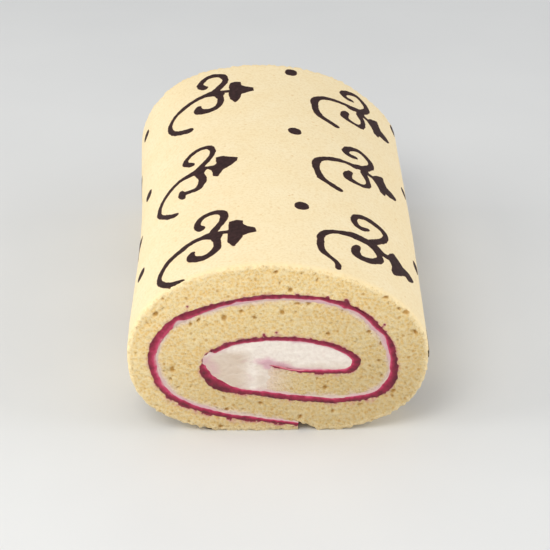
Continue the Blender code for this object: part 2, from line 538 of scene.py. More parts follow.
sponge = {
    "cell": 0.46 * mm,  # along the skin
    "through": 22,  # cells through the sheet
    "lengthCells": 80,  # along the roll, on the skin
    "endCrowding": 0.1,  # these cells are shorter towards the cuts
    "inset": 0.2 * mm,  # the skin lies this far inside the solid, so the piping fits
    "waves": ((0.09 * mm, 14 * mm), (0.05 * mm, 4 * mm)),  # height and size, on the skin
    "faceRecess": 0.25 * mm,
    "crumbRelief": ((0.17 * mm, 1.2 * mm), (0.16 * mm, 4.5 * mm)),
    "recessFade": 2.5 * mm,  # the cut's unevenness dies out over this length of the roll
    "rimRound": (1.3 * mm, 0.7 * mm),  # reach and depth
    "rimNick": 0.45 * mm,
    "nickSize": 1.3 * mm,
    "wear": (2.4 * mm, 1.1 * mm),  # its edge is worn this far into the sheet and along the roll
    "jamRim": (0.5 * mm, 0.12 * mm),  # reach and depth of the face's other rim
    "poreCount": 150,
    "poreRadius": (0.22 * mm, 0.6 * mm),  # the smallest, and what the largest adds
    "poreDepth": 0.7 * mm,
    # the largest open bubbles of the front: x, height and radius in mm
    "frontPores": (
        (-31.5, 21.6, 1.0), (1.2, 40.7, 0.9), (-15.9, 39.0, 1.0), (-6.9, 39.0, 0.8),
        (-10.8, 41.0, 0.7), (31.8, 45.4, 0.8), (37.8, 40.4, 1.1), (27.0, 34.0, 0.8),
        (-0.6, 54.1, 0.7), (9.0, 43.7, 0.8), (-25.8, 37.0, 0.7), (-36.0, 40.4, 0.9),
        (14.0, 15.0, 0.7), (30.0, 24.0, 0.6),
    ),
    # where jam has soaked into the cut: x, height and radius in mm
    "soakSpots": (
        (20.0, 44.4, 0.9), (14.5, 45.6, 0.6), (-26.6, 42.9, 0.6), (-0.5, 34.0, 0.6),
        (-4.2, 33.4, 0.5), (31.4, 36.4, 0.5), (8.0, 10.5, 0.6), (24.5, 10.6, 0.6),
    ),
    "rollsIn": 20 * mm,  # past the seam the skin gives way to a damp side over this length
    "endReach": 7 * mm,  # the rounded inner end
    "endBulge": 1.4 * mm,
    "endRecess": (3 * mm, 0.5 * mm),  # reach and depth
}


def skinRise(run, y):  # of the skin over the solid's, in metres
    waves = (height * lumpy(run / size, y / size, size / mm) for height, size in sponge["waves"])
    return sum(waves) - sponge["inset"]


def facingPlaces(skinSide):
    # for each place of the skin's line, the place of the jam's line across the sheet: the
    # nearest one further on, evened out so that the cells stay regular
    jamEven = evenLine(jamSide, 0.5 * mm)
    window, reach = 120, 25
    facing, last = [], 0
    for place in jamEven:
        ahead = range(last, min(len(skinSide), last + window))
        last = min(ahead, key=lambda k: (skinSide[k] - place).length_squared)
        facing.append(last)
    facing[0], facing[-1] = 0, len(skinSide) - 1
    weights = [1 + math.cos(math.pi * k / (reach + 1)) for k in range(-reach, reach + 1)]
    # beyond the ends the line is mirrored through its end
    before = [2 * facing[0] - facing[k] for k in range(reach, 0, -1)]
    after = [2 * facing[-1] - facing[-1 - k] for k in range(1, reach + 1)]
    mirrored = before + facing + after
    evened = [
        sum(weight * k for weight, k in zip(weights, mirrored[i:])) / sum(weights)
        for i in range(len(facing))
    ]
    evened[0], evened[-1] = 0, len(skinSide) - 1
    return placesAt(jamEven, evened, range(len(skinSide)))


def scatterPores(seed, known, jamEdge, skinEdge):
    # open bubbles in a cut face: many small, a few large, more of them towards the skin
    rng = random.Random(seed)
    pores = [
        (Vector((x, up)) * mm, radius * mm, rng.uniform(0.85, 1.2), rng.uniform(0, math.pi))
        for x, up, radius in known
    ]
    while len(pores) < sponge["poreCount"]:
        k = rng.randrange(len(skinEdge))
        thickness = (skinEdge[k] - jamEdge[k]).length
        if rng.random() > thickness / (13 * mm):  # fewer where the sheet is thin
            continue
        radius = sponge["poreRadius"][0] + sponge["poreRadius"][1] * rng.random() ** 3
        share = rng.uniform(0.1, 0.96) if rng.random() < 0.7 else rng.uniform(0.7, 0.98)
        place = jamEdge[k].lerp(skinEdge[k], share)
        pores.append((place, radius, rng.uniform(0.7, 1.4), rng.uniform(0, math.pi)))
    return pores


def placeTree(places):
    tree = kdtree.KDTree(len(places))
    for i, place in enumerate(places):
        tree.insert((place.x, place.y, 0), i)
    tree.balance()
    return tree


def poreDepths(places, pores):  # how deep each place of a face lies in a pore, 0 to 1
    tree = placeTree(places)
    depths = [0.0] * len(places)
    for centre, radius, stretch, turn in pores:
        for co, i, _ in tree.find_range((centre.x, centre.y, 0), radius * 1.8):
            away = Vector((co.x - centre.x, co.y - centre.y))
            across = away.x * math.cos(turn) + away.y * math.sin(turn)
            up = -away.x * math.sin(turn) + away.y * math.cos(turn)
            ragged = 1 + 0.35 * lumpy(co.x, co.y, radius, 0.9 * mm)
            far = math.hypot(across * stretch, up / stretch) / (radius * ragged)
            depths[i] = max(depths[i], ease(1.35 - far) * clamp(radius / (0.7 * mm), 0.5, 1))
    return depths


def makeSponge():
    outerSkin = evenLine(skinLine, sponge["cell"])
    skinRuns, skinColumns = runOf(outerSkin), len(outerSkin) - 1
    rolledIn = [outerSkin[-1]] + underJamSide(nextTurn, 0, underSheetEnd)
    skinEdge = outerSkin + evenLine(rolledIn, sponge["cell"])[1:]
    jamEdge = facingPlaces(skinEdge)
    columns, rows = len(skinEdge) - 1, sponge["through"]
    thickness = [(skin - jam).length for skin, jam in zip(skinEdge, jamEdge)]

    def isSkin(co):
        return co.y > 1 - 0.5 / rows and co.x * columns < skinColumns + 0.5

    # the skin's long edges are divided, so that it can follow the roll's settled shape
    sheet = flatSheet("sponge", columns, rows)
    longEdges = []
    for edge in sheet.data.edges:
        a, b = (sheet.data.vertices[i].co for i in edge.vertices)
        if isSkin(a) and isSkin(b) and abs(a.z - b.z) > 0.5:
            longEdges.append(edge.index)
    cuts = sponge["lengthCells"] - 1
    editChosen(sheet, "edges", longEdges, bpy.ops.mesh.subdivide, number_cuts=cuts, ngon=True)
    verts = sheet.data.vertices
    for face in sheet.data.polygons:
        if all(isSkin(verts[i].co) for i in face.vertices):
            face.material_index = 1

    def sectionPlace(column, row):
        share = row / rows
        endCells = sponge["endReach"] / sponge["cell"]
        near = clamp((column - (columns - endCells)) / endCells)
        bulge = sponge["endBulge"] * near**2 * math.sin(math.pi * share)
        return jamEdge[column].lerp(skinEdge[column], share) - Vector((bulge, 0))

    grid = {(c, r): sectionPlace(c, r) for c in range(columns + 1) for r in range(rows + 1)}
    opened = {}
    for side, seed, known in ((1, 3, sponge["frontPores"]), (-1, 8, ())):
        pores = scatterPores(seed, known, jamEdge, skinEdge)
        opened[side] = dict(zip(grid, poreDepths(list(grid.values()), pores)))

    def measuresAt(column, row):
        # how deep it lies from the skin and from the jam, and 1 where the sheet is rolled in
        across = row / rows
        inside = ease((column - skinColumns) / (sponge["rollsIn"] / sponge["cell"]))
        return thickness[column] * (1 - across), thickness[column] * across, inside

    def cutRecess(column, row, side):  # how far a place of a cut face lies behind the solid's
        place = grid[column, row]
        fromSkin, fromJam, inside = measuresAt(column, row)
        recess = sponge["faceRecess"] + sponge["poreDepth"] * opened[side][column, row]
        for height, size in sponge["crumbRelief"]:
            recess += height * lumpy(place.x, place.y, side * 0.1, size)
        reach, depth = sponge["rimRound"]
        nicked = 1 + 1.3 * lumpy(place.x, place.y, side, sponge["nickSize"])
        recess += depth * clamp(1 - fromSkin / reach) ** 2 * nicked * (1 - 0.9 * inside)
        reach, depth = sponge["jamRim"]
        recess += depth * clamp(1 - fromJam / reach)
        reach, depth = sponge["endRecess"]
        recess += depth * math.exp((column - columns) * sponge["cell"] / reach)
        return max(recess, 0.02 * mm)

    def rimLoss(column, side):  # crumbs are missing along the edges of a cut face
        ragged = lumpy(column * 0.35, side, 7) + 0.6 * lumpy(column * 0.8, side, 2)
        return sponge["rimNick"] * (0.5 + 0.8 * ragged)

    def cutTint(column, row, side):
        place = grid[column, row]
        fromSkin, fromJam, inside = measuresAt(column, row)
        patch = lumpy(place.x, place.y, side, 3 * mm)
        fleck = lumpy(place.x, place.y, side * 5, 1.1 * mm)
        nick = lumpy(place.x, place.y, side, sponge["nickSize"])
        rindDeep = (4.2 - 2.6 * inside) * (1 + 0.7 * nick) * mm
        # jam soaks in along its line, deepest where it lies low, and in some spots
        soakDeep = (0.7 + 0.4 * ease((16 * mm - place.y) / (6 * mm))) * mm
        blush = math.exp(-fromJam / soakDeep) * clamp(0.85 + 0.9 * patch + 1.3 * fleck, 0, 1.5)
        for x, up, reach in sponge["soakSpots"]:
            blush += hump(math.hypot(place.x / mm - x, place.y / mm - up), reach)
        # cream clings to the rolled-in side and to the inner end
        clinging = inside * math.exp(-fromSkin / (1.0 * mm)) * clamp(0.8 + patch)
        ending = math.exp((column - columns) * sponge["cell"] / (6.5 * mm))
        # painted shade: the face is darker towards the lower right
        lowerRightShade = (0.0065 * place.x - 0.0165 * place.y) / mm
        return {
            # painted shade in the open pores
            "poreShade": opened[side][column, row],
            "rind": clamp(1 - fromSkin / rindDeep) * (1 - inside),
            "blush": blush,
            "creamed": max(clinging, ending * clamp(1.1 + 0.5 * patch)),
            # the whole face is dulled a little as damp, more on the rolled-in turn, plus painted
            # shade towards the lower right
            "dampAndShade": clamp(0.75 + 0.15 * inside + lowerRightShade),
        }

    def placeOf(column, row, back, side):
        place = grid[column, row].copy()
        y = rollY(back - sponge["endCrowding"] * math.sin(math.tau * back))
        fromCut = roll["length"] / 2 - abs(y)
        fromSkin, _, inside = measuresAt(column, row)
        wornDeep, wornAlong = sponge["wear"]
        near = clamp(1 - fromSkin / wornDeep)
        loss = 0
        if place.y > 0.5 * mm:  # the skin follows the worn edge for a little way
            loss = rimLoss(column, side) * near * math.exp(-fromCut / wornAlong)
        if column <= skinColumns:
            lift = near * clamp(place.y / (3 * mm))  # it lies flat underneath
            place -= inwardAt(outerSkin, column) * (skinRise(skinRuns[column], y) * lift)
        place += inwardAt(skinEdge, column) * loss
        y += side * cutRecess(column, row, side) * math.exp(-fromCut / sponge["recessFade"])
        if fromCut < 1e-6:
            tint = cutTint(column, row, side)
        else:
            tint = {"rind": float(row == rows), "dampAndShade": inside}
        return place.x, y, max(place.y, 0), tint

    rollUp(sheet, columns, rows, placeOf)
    finished(sheet, (cutSponge(), bakedSkin()), 50, "sponge", "sponge_sheet")


jamBand = {
    "cell": 0.36 * mm,
    "across": 9,  # cells
    "tuck": (0.25 * mm, 0.2 * mm),  # how far it reaches under the sponge and under the cream
    # height and size of what soaks into the sponge's holes
    "soak": ((0.42 * mm, 1.7 * mm), (0.3 * mm, 0.8 * mm)),
    "lumps": ((0.2 * mm, 2.6 * mm, 5), (0.15 * mm, 1.1 * mm, 7)),  # the same inwards, and a seed
    "uneven": (0.22, 7 * mm),  # share of its thickness that comes and goes, and over what length
    "runsOut": 20 * mm,  # towards the sheet's inner end
    "edgeRecess": 0.5 * mm,
    "swell": 0.42 * mm,  # the middle stands this much further out
    "proud": 0.42 * mm,  # and what is squeezed out over the sponge this much
    # place in its line, reach along it, what is added to its thickness inwards and outwards
    "clots": (
        (15.35, 4.5 * mm, 1.1 * mm, 0.9 * mm),
        (15.9, 2 * mm, 0.7 * mm, 0.0),
        (21.3, 3.5 * mm, 0.8 * mm, 0.2 * mm),
        (4.2, 12 * mm, 0.5 * mm, 0.1 * mm),
        (5.2, 8 * mm, 0.7 * mm, 0.0),
        (10.6, 6 * mm, 0.5 * mm, 0.4 * mm),
        (13.3, 14 * mm, 0.0, 0.4 * mm),
        (7.95, 0.9 * mm, 0.3 * mm, 0.9 * mm),
        (8.25, 2.5 * mm, -0.2 * mm, -0.6 * mm),
    ),
    # place and reach where it nearly runs out
    "pinches": (
        (6.2, 0.8 * mm), (7.55, 2.2 * mm), (5.1, 1.8 * mm), (9.1, 2.2 * mm), (23.4, 2.5 * mm)
    ),
    "gap": (16.8, 1.8 * mm),  # where cream has pushed through it
}


def fromJamPlace(run, place):  # the length along the jam's line
    return run - jamRuns[round(place * lineSteps)]


def jamGap(run):  # 1 where the jam is missing
    place, reach = jamBand["gap"]
    return ease(1.9 - abs(fromJamPlace(run, place)) / reach)


def jamEdges():
    # its edges along the line: how far inwards each lies, and how proud it stands
    outer, inner, proud = [], [], []
    for run, depth in zip(jamRuns, jamFoot):
        out = jamBand["tuck"][0]
        for height, size in jamBand["soak"]:
            out += height * lumpy(run / size, 9, 0)
        share, length = jamBand["uneven"]
        depth *= 1 + share * lumpy(run / length, 0, 0)
        for height, size, seed in jamBand["lumps"]:
            depth += height * lumpy(run / size, seed, 0)
        left = ease((jamRuns[-1] - run) / jamBand["runsOut"])
        depth *= 0.2 + 0.8 * left
        out *= 0.5 + 0.5 * left
        proud.append(0.0)
        for place, reach, more, moreOut in jamBand["clots"]:
            near = hump(fromJamPlace(run, place), reach)
            depth += more * near
            out += moreOut * near
            proud[-1] += clamp(moreOut / (0.6 * mm)) * near
        for place, reach in jamBand["pinches"]:
            depth *= 1 - 0.5 * hump(fromJamPlace(run, place), reach)
        outer.append(-out)
        inner.append(max(depth, 0.2 * mm) + jamBand["tuck"][1] * left)
    return outer, inner, proud


def makeJam():
    outer, inner, proud = jamEdges()
    edges = underJamSide(outer), underJamSide(inner)
    columns, rows = round(jamRuns[-1] / jamBand["cell"]), jamBand["across"]

    def placeOf(column, row, back, side):
        at = column / columns * (len(jamSide) - 1)
        i = min(int(at), len(jamSide) - 2)
        over, under = (edge[i].lerp(edge[i + 1], at - i) for edge in edges)
        across = row / rows
        place = over.lerp(under, across)
        squeezed = clamp(proud[i])
        lump = 1 + 0.35 * lumpy(place.x, place.y, side, 1.7 * mm)
        recess = jamBand["edgeRecess"] - jamBand["swell"] * math.sin(math.pi * across) ** 0.6 * lump
        recess -= jamBand["proud"] * squeezed * (1 - across) ** 0.5
        recess += 0.9 * mm * jamGap(jamRuns[i])
        recess += 0.6 * mm * math.exp((jamRuns[i] - jamRuns[-1]) / (1.5 * mm))
        thick = clamp((under - over).length / (3.2 * mm))  # where it is thick it looks darker
        # painted light: it is brightest up the left, where the light comes through it, and this
        # fades lower down and where it is squeezed out; it is also brighter towards its thinner
        # inner edge
        lit = 0.45 * hump(place.x + 37 * mm, 9 * mm) * ease(place.y / (14 * mm)) * across**0.5
        lit += 0.6 * ease((across - 0.5) / 0.35) * (1 - 0.6 * thick)
        lit *= (1 - 0.65 * ease((18 * mm - place.y) / (8 * mm))) * (1 - 0.4 * squeezed)
        # across holds the place across the band, darker where thick, plus the painted light
        tint = {"across": across * (0.8 - 0.5 * thick) + lit}
        return place.x, rollY(back) + side * max(recess, 0.03 * mm), max(place.y, 0.05 * mm), tint

    sheet = rollUp(flatSheet("jam", columns, rows), columns, rows, placeOf)
    finished(sheet, (cookedJam(),), 60, "jam", "jam_layer")


creamHeart = {
    "cell": 0.5 * mm,
    "across": 5,
    "wrapEnd": 14.8,  # place in the jam's line
    "wrapTuck": (0.9 * mm, 0.45 * mm),  # how far it reaches under the jam and under the sponge
    "wrapRecess": (0.5 * mm, 0.28 * mm),  # at its edges, and at its middle
    "columns": 110,
    "rows": 34,
    # places in the jam's line that bound the heart above, below and along the sheet's end
    "bounds": ((16.5, 21.6), (13, 16.5), (21.6, 24)),
    "tuck": 0.15 * mm,
    "push": 0.3 * mm,  # through the gap in the jam
    "edgeWaves": ((0.35 * mm, 2.6 * mm, 1), (0.2 * mm, 1.2 * mm, 4)),  # height, size and a seed
    "heartRecess": 0.34 * mm,
    "tongueRecess": 0.5 * mm,  # more where the sheet's end lies in front of it
    "wave": ((0.14 * mm, 5 * mm), (0.07 * mm, 1.8 * mm)),
    # jam dragged into it: x, height, half width and half height in mm, and strength
    "streaks": ((-19, 22.5, 2.6, 4, 0.45), (-4.5, 24.6, 4, 1.4, 0.6)),
}


def makeCreamWrap():
    underJam, underSponge = creamHeart["wrapTuck"]
    outer = [max(depth - underJam, 0.2 * mm) for depth in jamFoot]
    inner = [depth + underSponge for depth in nextTurn]
    over = evenLine(underJamSide(outer, 0, creamHeart["wrapEnd"]), creamHeart["cell"])
    columns, rows = len(over) - 1, creamHeart["across"]
    under = dividedLine(underJamSide(inner, 0, creamHeart["wrapEnd"]), columns)

    def placeOf(column, row, back, side):
        across = row / rows
        place = over[column].lerp(under[column], across)
        edge, middle = creamHeart["wrapRecess"]
        recess = edge + (middle - edge) * math.sin(math.pi * across)
        recess += 0.08 * mm * lumpy(place.x, place.y, side, 1.5 * mm)
        tint = {"jammy": clamp(1.1 - 0.7 * across), "soaked": 0.6 + 0.4 * across}
        return place.x, rollY(back) + side * recess, max(place.y, 0.05 * mm), tint

    return rollUp(flatSheet("cream", columns, rows), columns, rows, placeOf)


def makeCreamHeart():
    foot = []
    for run, depth in zip(jamRuns, jamFoot):
        depth -= creamHeart["tuck"]
        for height, size, seed in creamHeart["edgeWaves"]:
            depth += height * lumpy(run / size, seed, 0)
        foot.append(depth - (depth + creamHeart["push"]) * jamGap(run))
    overLine, underLine, sheetLine = (underJamSide(foot, *ends) for ends in creamHeart["bounds"])
    left = min(place.x for place in overLine) + 0.02 * mm
    right = max(place.x for place in overLine) - 0.02 * mm
    columns, rows = creamHeart["columns"], creamHeart["rows"]
    jamTree = placeTree(jamSide)
    gapPlace = jamSide[round(jamBand["gap"][0] * lineSteps)]

    def heightAt(line, x):
        for a, b in zip(line, line[1:]):
            if min(a.x, b.x) <= x <= max(a.x, b.x) and abs(b.x - a.x) > 1e-9:
                return a.y + (b.y - a.y) * (x - a.x) / (b.x - a.x)
        return min(line, key=lambda place: abs(place.x - x)).y

    def placeOf(column, row, back, side):
        x = left + (right - left) * (0.5 - 0.5 * math.cos(math.pi * column / columns))
        sheetTop = heightAt(sheetLine, x)
        behind = ease((x + 2 * mm) / (5 * mm))  # there its lower edge climbs behind the sheet
        low = heightAt(underLine, x) * (1 - behind) + (sheetTop - 0.5 * mm) * behind
        place = Vector((x, low + (heightAt(overLine, x) - low) * row / rows))
        recess = creamHeart["heartRecess"] - 0.18 * mm * ease(1 - abs(x + 5 * mm) / (5 * mm))
        for height, size in creamHeart["wave"]:
            recess += height * lumpy(x, place.y, side * 0.02, size)
        blot = lumpy(x, place.y, side, 2.4 * mm)
        tongue = ease((x + (6.5 + 2 * blot) * mm) / (6 * mm))
        tongue *= ease((sheetTop + 0.2 * mm - place.y) / (1.6 * mm))
        recess += creamHeart["tongueRecess"] * tongue
        # it is pink along the jam, less so at the gap, and where jam was dragged in
        fromJam = max(jamTree.find((x, place.y, 0))[2] - 1.1 * mm, 0)
        clean = 0.5 * hump((place - gapPlace).length, 3 * mm)
        beneath = ease((26 * mm - place.y) / (5 * mm))  # the line of the sheet's inner end
        jammy = 0.9 * math.exp(-fromJam / (0.7 * mm)) * (1 - clean)
        jammy += 0.25 * hump(x + 8 * mm, 3 * mm) * beneath
        for at, up, wide, high, most in creamHeart["streaks"]:
            jammy += most * hump(x - at * mm, wide * mm) * hump(place.y - up * mm, high * mm)
        soaked = 0.75 * ease((-5 * mm - x) / (8 * mm)) * ease((30 * mm - place.y) / (5 * mm))
        soaked = max(soaked, 0.45 * ease((x + 9 * mm) / (4 * mm)) * beneath)
        tint = {"jammy": clamp(jammy), "soaked": clamp(soaked)}
        return x, rollY(back) + side * recess, place.y, tint

    return rollUp(flatSheet("creamHeart", columns, rows), columns, rows, placeOf)


def makeCream():
    wrap, heart = makeCreamWrap(), makeCreamHeart()
    onlySelect(wrap)
    heart.select_set(True)
    bpy.ops.object.join()
    finished(wrap, (whippedCream(),), 60, "cream", "cream_filling")


piping = {
    "cell": 0.42,  # mm, of the thin sheet that the strokes are cut from
    "rise": (0.04, 0.1),  # mm above the skin, at its edge and at its middle
    "slope": 0.6,  # mm from one to the other
    "grow": 0.08,  # mm that the batter spread in the oven
    "leafGrow": 0.4,  # mm, and with that a leaf's corners are rounded
    "far": 6,  # mm, from where a stroke doesn't matter
    "sunk": 0.75,  # mm, it is baked into the sheet
    "endShort": 1.1 * mm,  # it crumbled off beside the cuts
    "curveSteps": 5,
    "wander": ((0.4, 6.0), (0.2, 1.5), (0.1, 0.8)),  # mm of drift, and over how many mm
    "dotStroke": ((0, -0.6, 2.05), (0, 0.6, 2.05)),
    # length round the skin from the crown, length along the roll, form, turn in degrees
    "scrolls": (
        (-19.8, 55.6, "star", 0), (-26.6, -2.2, "spade", 0), (-20.1, -50.1, "star", 0),
        (31.7, 55.2, "curled", -2), (29.6, 6.2, "curled", 0), (28.2, -44.4, "swept", 0),
        (-71, 37, "spade", 3), (-66.3, -10, "curled", 0), (-83, -59, "star", -2),
        (74.5, 48, "spade", 0), (73.5, -4, "swept", 3), (72.5, -55, "spade", -2),
    ),
    "dots": (
        (7.3, 69.8), (6.6, 20.6), (7.5, -34.8), (-51, 60.5), (-49, 10), (-48.5, -46), (51.5, 71),
        (51.5, 20), (52, -33), (-98, 52), (-97, 2), (-98, -46), (104, 66), (103, 21), (104, -29),
    ),
}

# the corners of a scroll's leaf as x and y in mm, from where its strokes meet, and then
# every stroke as x, y and half width
scrollForms = {
    "star": (
        ((5.8, 4.6), (7.3, 5.0), (8.9, 4.5), (9.1, 2), (10.6, 0.3), (12.8, -0.8), (13, -2.9),
         (10.8, -3.9), (9, -5), (8.3, -8), (6.9, -11), (5.5, -8.5), (5.2, -4), (5.4, -1.5),
         (5.4, 1.5)),
        ((-1, -1.2, 1.4), (-5, -2, 1.15), (-9, -3.7, 1.2), (-12.4, -6, 1.2), (-15.3, -9, 1.0),
         (-16.7, -12, 1.05), (-16.8, -15.5, 0.9), (-15.6, -19.2, 0.95), (-12.9, -22.4, 1.25),
         (-9.4, -24.4, 1.5)),
        ((0.6, 0.5, 1.3), (2.1, 3.2, 1.15), (3.4, 6, 1.1), (3.8, 9, 1.15), (2.8, 11.8, 1.3),
         (-0.3, 13.1, 1.25), (-3.3, 11.6, 1.1), (-4.8, 9, 1.1), (-4.6, 6.5, 1.3),
         (-3.6, 4.9, 1.45)),
        ((1.2, -3, 1.4), (2, -7, 1.05), (1.7, -11, 1.2), (0, -13.4, 1.3), (-2.6, -14.4, 1.5),
         (-5.4, -13, 1.6), (-6.1, -10.6, 1.2), (-5.8, -9.2, 0.8)),
        ((-3.2, -1.5, 1.1), (-0.6, -1.4, 2), (1.3, -2.4, 2), (2, -4.6, 1.1)),
        ((2.5, -1.2, 0.95), (5.4, -1.7, 0.95)),
    ),
    "spade": (
        ((7, 5.3), (9, 4.9), (13.8, 2.5), (13.6, 0.4), (11.5, -2.2), (8.7, -4.8), (7.3, -8.6),
         (6.2, -8), (5.8, -4), (4.6, -1.5), (6, -0.6), (7.3, 0.8), (7, 3)),
        ((-2.2, -1.3, 1.5), (-6.6, -1.9, 1.2), (-10.8, -4.5, 1.15), (-13.7, -8, 1.1),
         (-14.8, -12, 1.0), (-14.7, -16, 0.9), (-12.9, -20, 0.9), (-10, -23.2, 1.1),
         (-7.4, -25.4, 1.2)),
        ((0.8, 1, 1.3), (3.3, 4.9, 1.1), (5.2, 8.5, 1.0), (5.6, 12, 1.0), (4.2, 14.7, 1.1),
         (1.3, 15.6, 1.1), (-2, 14, 1.05), (-4.2, 11, 1.05), (-4, 8.2, 1.1), (-2, 6, 1.1)),
        ((0.8, -3.5, 1.5), (2.1, -7, 1.5), (2, -11, 1.35), (0.5, -13.9, 1.3), (-2, -13.9, 1.1),
         (-4.6, -13.4, 1.3)),
        ((-5.9, -10.3, 0.6), (-5.3, -13.2, 1.4), (-4.7, -16.3, 0.7)),
        ((-2.6, -0.9, 1.2), (0, -0.8, 2.1), (1.6, -0.3, 1.9), (1, -3, 1.6)),
        ((2.2, 0.2, 1), (5.6, -1, 0.9)),
    ),
    "swept": (
        ((10.4, 0.8), (12.8, -1.7), (14.5, -3.6), (17, -3.4), (19.3, -4.7), (18, -7), (16.4, -8.8),
         (14.8, -7.6), (13.1, -9.3), (11.3, -12.3), (9.6, -13.8), (9, -12.3), (9.4, -9),
         (8.5, -6.5), (8.2, -3.5), (9.2, -1.2)),
        ((-1, -1.6, 1.6), (-4.4, -1.7, 1.7), (-8.8, -3, 1.1), (-12.4, -4.8, 1.25),
         (-14.5, -7.6, 1.15), (-14.9, -12, 1.05), (-14.8, -16, 1.15), (-13.6, -19.5, 1.0),
         (-11.4, -21.9, 0.9), (-10.2, -24.5, 0.95), (-10.3, -26.6, 1.05)),
        ((2.4, -1, 1.4), (4.5, 2, 1.15), (6.6, 5, 1.05), (7.8, 9, 1.15), (6.5, 12, 1.3),
         (3, 13.6, 1.4), (-0.5, 13.6, 1.2), (-3.3, 11.8, 1.1), (-3.8, 9, 1.05), (-2.8, 6.4, 1.15),
         (-1, 5.5, 1.2), (0.8, 6.8, 0.8)),
        ((1.5, -3, 1.4), (3.8, -6, 1.15), (4.7, -9.3, 1.25), (3.1, -12.3, 1.35), (0, -14.6, 1.6),
         (-3, -14.1, 1.75), (-3.8, -11, 1.5), (-3, -8, 1.0)),
        ((-3.6, -2, 1.7), (0, -2.2, 1.9), (3, -2.6, 1.8), (6, -4.7, 1.6), (8.6, -4.6, 1.5)),
    ),
    "curled": (
        ((4, -1.3), (5.9, 2), (8.4, 4.6), (8.8, 2), (10, -1.1), (12.3, -1.9), (14.2, -3.6),
         (13.2, -5.8), (11.1, -6.9), (9, -6.8), (8.2, -9.3), (6.8, -8.6), (6.1, -5.8), (4.4, -2.8)),
        ((-2.6, -0.6, 1.5), (-5.6, -0.4, 1.0), (-9.6, -1, 1.2), (-13.9, -2.7, 1.2),
         (-16.5, -5.5, 1.35), (-17, -9, 1.3), (-16.7, -13, 1.15), (-15.9, -17.6, 1.35),
         (-14.6, -19.6, 1.2), (-12, -21.8, 1.15), (-9.4, -23.6, 1.2)),
        ((0.5, 1, 1.4), (2.6, 4, 1.3), (4.2, 8, 1.15), (3.2, 11.5, 1.35), (0.5, 13.8, 1.25),
         (-2.2, 13.4, 1.2), (-4.9, 11.2, 1.3), (-5.9, 8.4, 1.35), (-4.3, 6.5, 1.15),
         (-2.4, 6.9, 1.0)),
        ((0.6, -3, 1.4), (1.6, -7, 1.0), (1.5, -10.5, 1.0), (0, -12.9, 1.1), (-3, -13.2, 1.1),
         (-5.7, -12.1, 1.5), (-5.9, -9.5, 1.5), (-4.9, -7, 1.0)),
        ((-3.2, -0.9, 1.3), (-0.8, 0.6, 1.5), (1.1, 1.4, 1.5), (0.8, -1.8, 1.4)),
        ((1.6, -0.8, 1.2), (4.8, -1.4, 1.2)),
    ),
}


def besideBit(a, b, x, y):  # how far along a straight bit, 0 to 1, and how far from it
    along = b - a
    length = along.x * along.x + along.y * along.y
    share = clamp(((x - a.x) * along.x + (y - a.y) * along.y) / max(length, 1e-6))
    return share, math.hypot(x - a.x - along.x * share, y - a.y - along.y * share)


def inkDepth(pieces, leaf, x, y):  # mm from the batter's edge, more than 0 inside it
    deepest = -9.0
    for a, b in pieces:  # straight bits of the strokes, from one width to the next
        if max(abs(x - a.x), abs(y - a.y)) > piping["far"]:
            continue
        share, gap = besideBit(a, b, x, y)
        deepest = max(deepest, a.z + (b.z - a.z) * share - gap + piping["grow"])
    inside, nearest = False, 9.0
    for a, b in leaf:
        nearest = min(nearest, besideBit(a, b, x, y)[1])
        if (a.y > y) != (b.y > y) and x < a.x + (y - a.y) * (b.x - a.x) / (b.y - a.y):
            inside = not inside
    if leaf:
        deepest = max(deepest, (nearest if inside else -nearest) + piping["leafGrow"])
    return deepest


